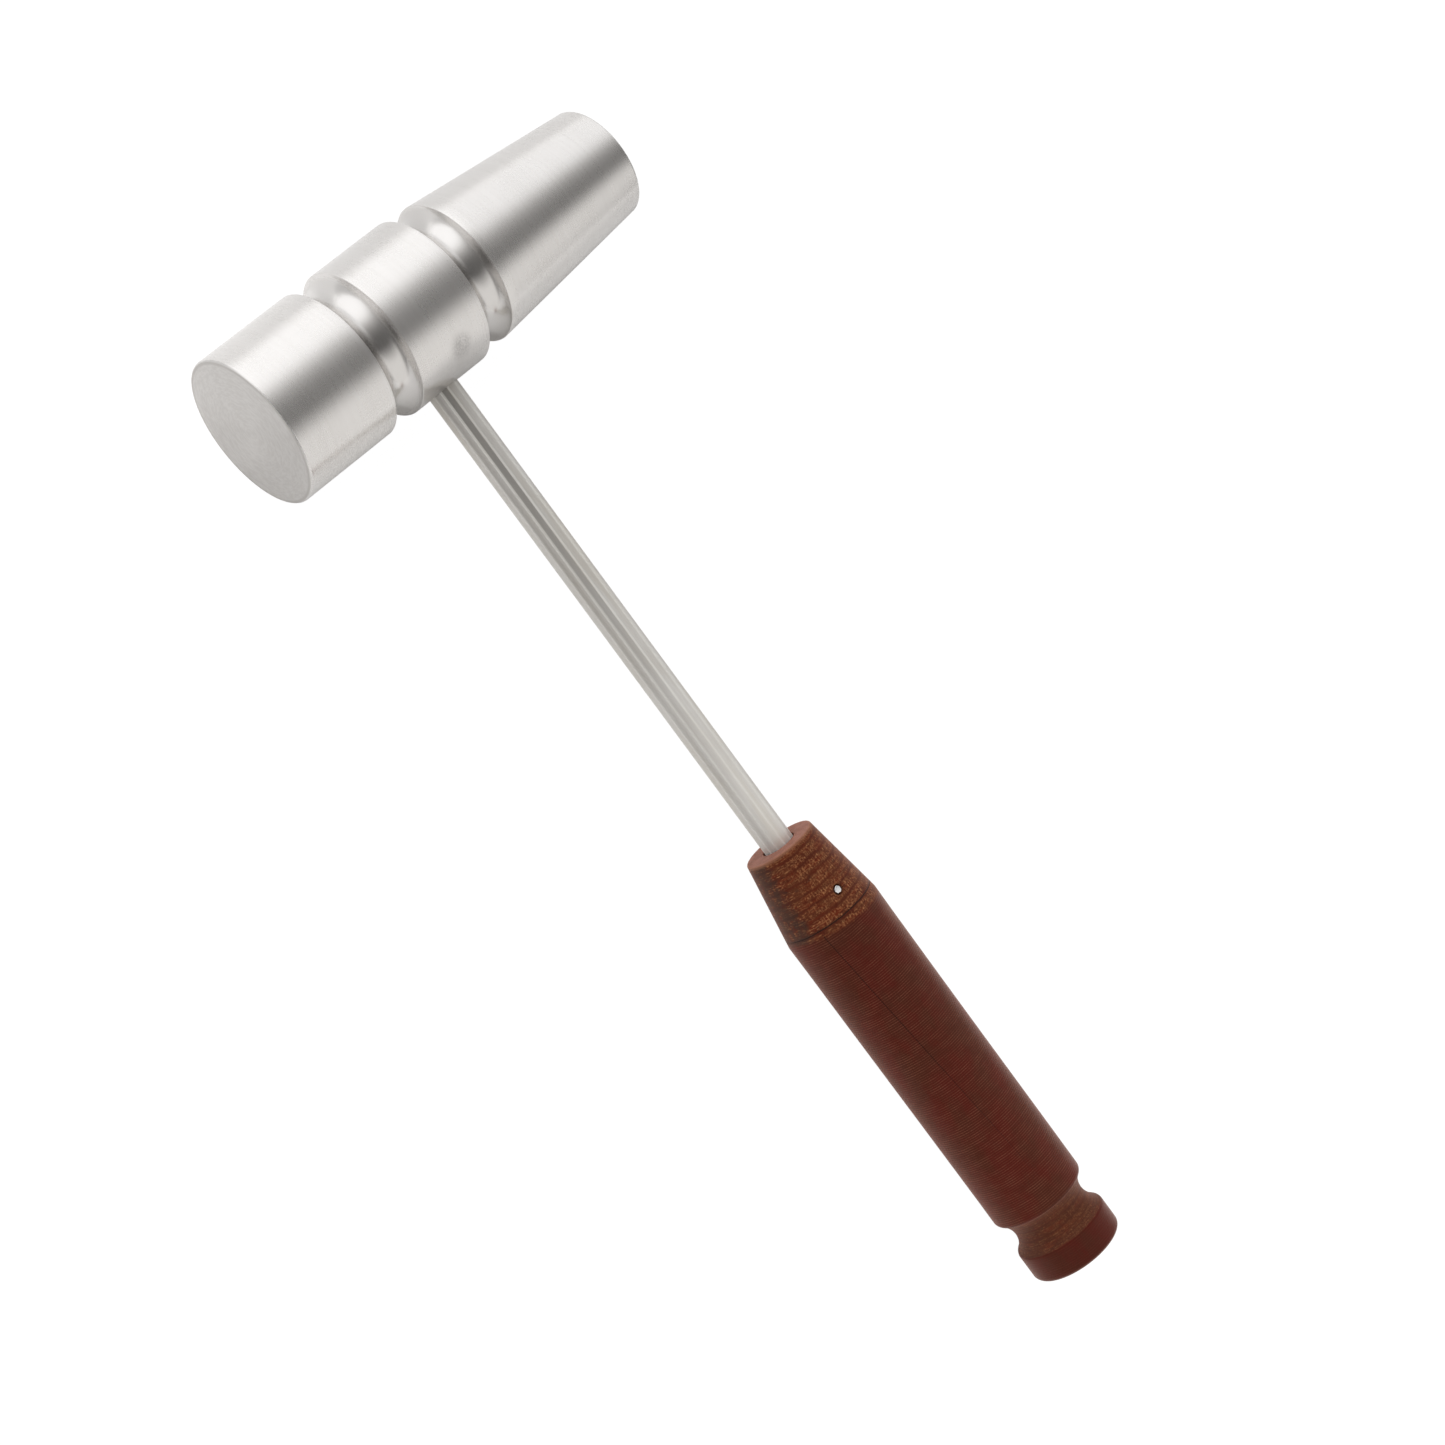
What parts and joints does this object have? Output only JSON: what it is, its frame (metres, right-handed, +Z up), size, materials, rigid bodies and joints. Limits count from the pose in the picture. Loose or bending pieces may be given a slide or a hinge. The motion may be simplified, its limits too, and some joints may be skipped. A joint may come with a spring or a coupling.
{
  "type": "surgical mallet",
  "caption": "Surgical mallet: turned steel head with a cylindrical and a tapered end, slim fluted shaft, and a pinned handle of rolled cloth laminate.",
  "frame": {"origin": "middle of the bottom of the bounding box, below the head and handle as the mallet lies on its side", "axes": "+X from the head to the end of the handle, +Y along the head from the large striking face to the small one, +Z up"},
  "size_m": [0.2312, 0.0874, 0.03],
  "materials": {
    "satin_steel": "satin turned stainless steel with fine marks around the axis",
    "drawn_steel": "drawn stainless steel with fine marks along the bar",
    "cloth_laminate": "dark red-brown phenolic resin and rolled cotton cloth, matte where turned",
    "pin_steel": "ground bright steel",
    "adhesive": "set amber epoxy"
  },
  "bodies": {
    "root": {"head": "satin_steel", "shaft": "drawn_steel", "handle": "cloth_laminate", "cross_pin": "pin_steel", "tang_bond": "adhesive"}
  },
  "joints": []
}
